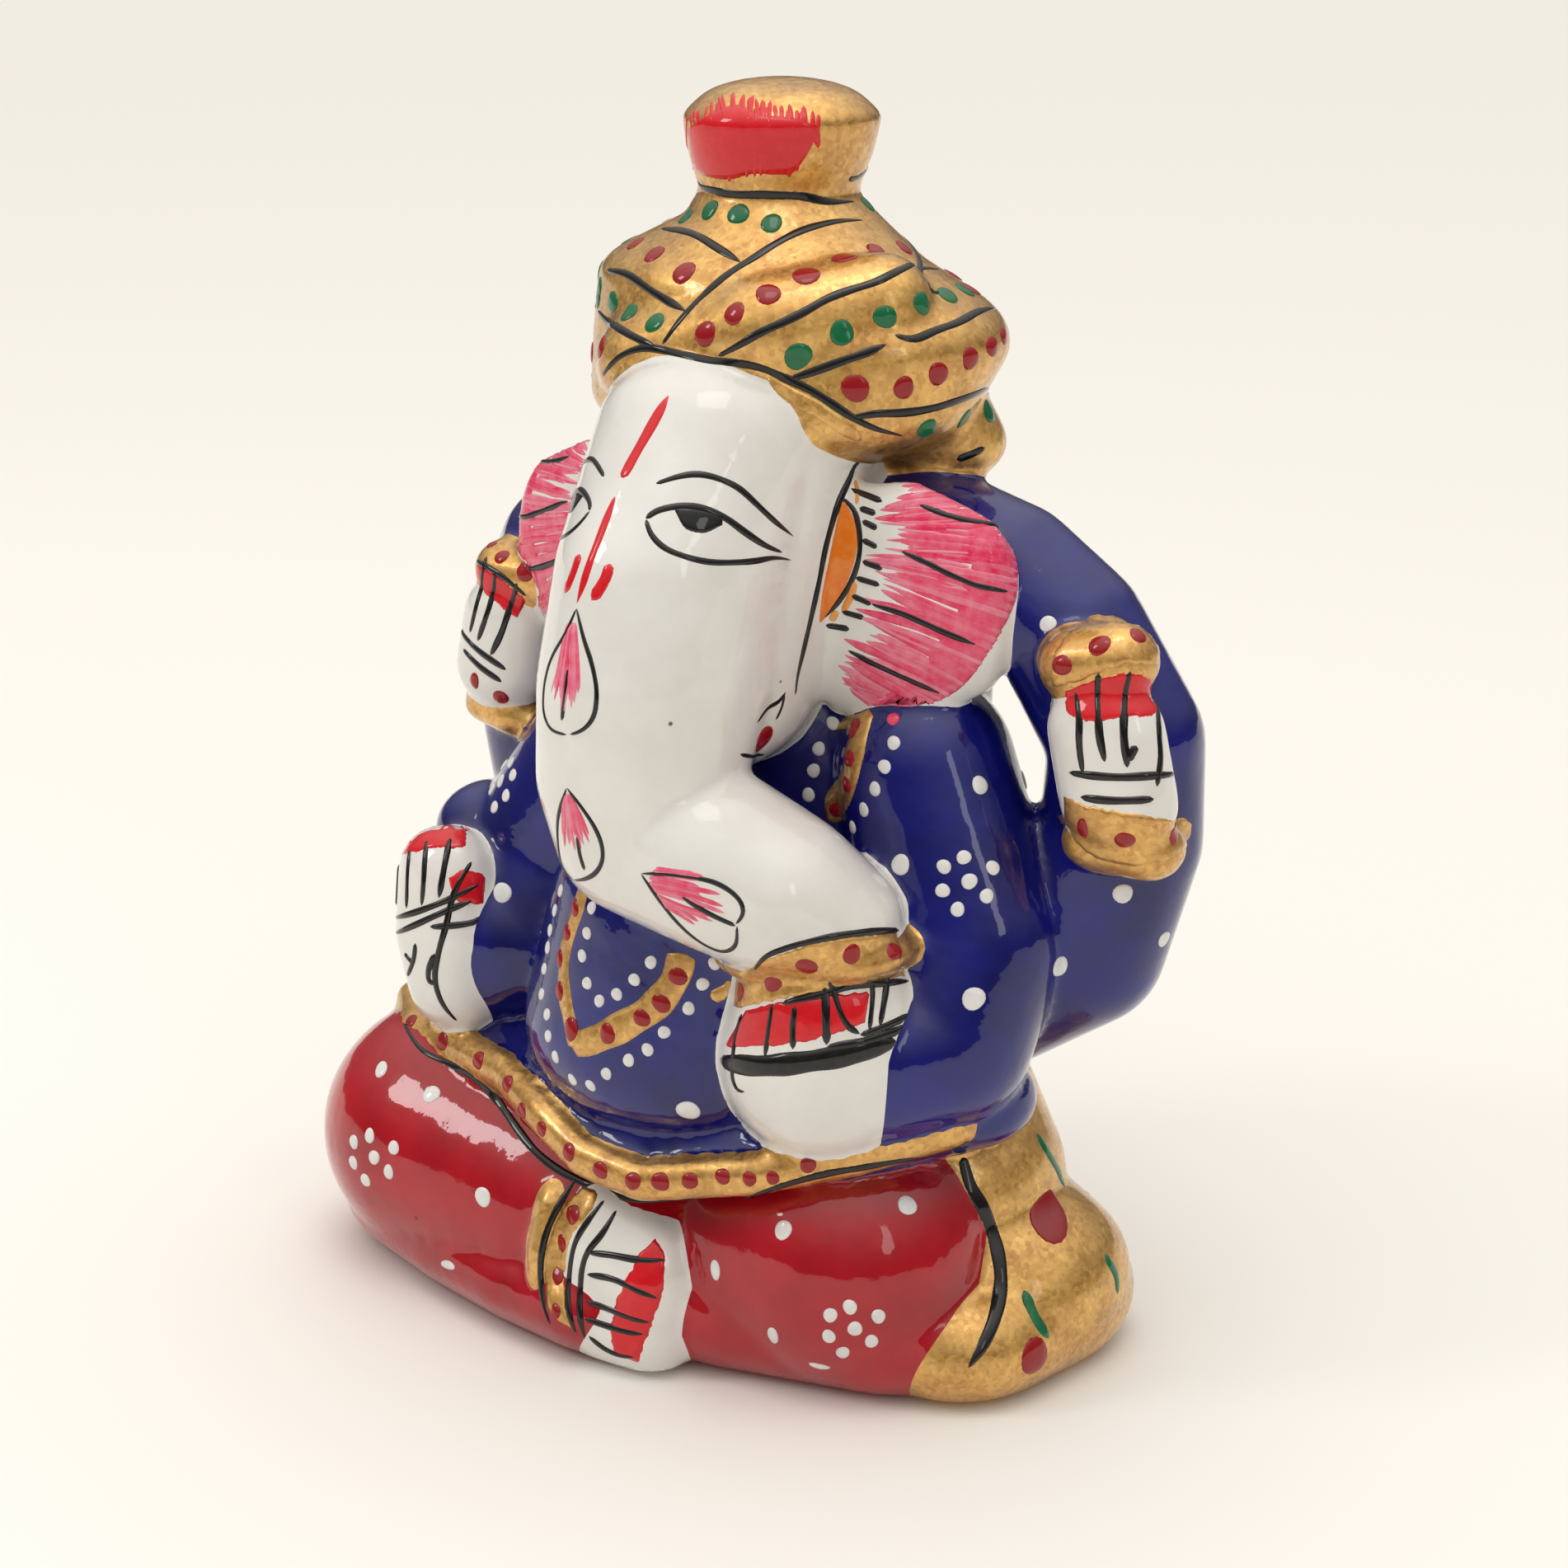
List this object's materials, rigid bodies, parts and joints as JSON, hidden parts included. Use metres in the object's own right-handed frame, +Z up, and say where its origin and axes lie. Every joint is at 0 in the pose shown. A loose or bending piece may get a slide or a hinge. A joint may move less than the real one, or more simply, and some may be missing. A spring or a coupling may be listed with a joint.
{
  "type": "seated elephant-headed figure",
  "caption": "Seated elephant-headed devotional figure in a wound turban, cast in hollow metal and hand-enamelled in red, blue, white and gold.",
  "frame": {"origin": "on the floor under the middle of the figure's outline", "axes": "+Z up, -Y the way the figure faces, +X the figure's left"},
  "size_m": [0.0764, 0.0422, 0.1],
  "materials": {
    "felt": "short dense felt",
    "sheet_metal": "plain rolled sheet",
    "red_enamel": "high gloss red enamel under clear lacquer",
    "white_enamel": "high gloss white enamel under clear lacquer",
    "blue_enamel": "high gloss deep blue enamel under clear lacquer",
    "pink_enamel": "white enamel brushed over with pink, under clear lacquer",
    "gold_paint": "flaky gold paint under clear lacquer"
  },
  "bodies": {
    "root": {"felt_pad": "felt", "base_cover": "sheet_metal", "right_leg": "red_enamel", "left_leg": "red_enamel", "foot": "white_enamel", "anklet": "gold_paint", "drape": "gold_paint", "torso": "blue_enamel", "waist_hem": "gold_paint", "necklace": "gold_paint", "rear_arm_left": "blue_enamel", "rear_arm_right": "blue_enamel", "front_arm_left": "blue_enamel", "front_arm_right": "blue_enamel", "rear_hand_left": "white_enamel", "rear_hand_right": "white_enamel", "blessing_hand": "white_enamel", "cupped_hand": "white_enamel", "rear_attribute_left": "gold_paint", "rear_attribute_right": "gold_paint", "rear_bangle_left": "gold_paint", "rear_bangle_right": "gold_paint", "sweet_bowl": "gold_paint", "head_and_trunk": "white_enamel", "ear_left": "pink_enamel", "ear_right": "pink_enamel", "pendant_left": "gold_paint", "pendant_right": "gold_paint", "turban": "gold_paint", "topknot": "gold_paint"}
  },
  "joints": []
}
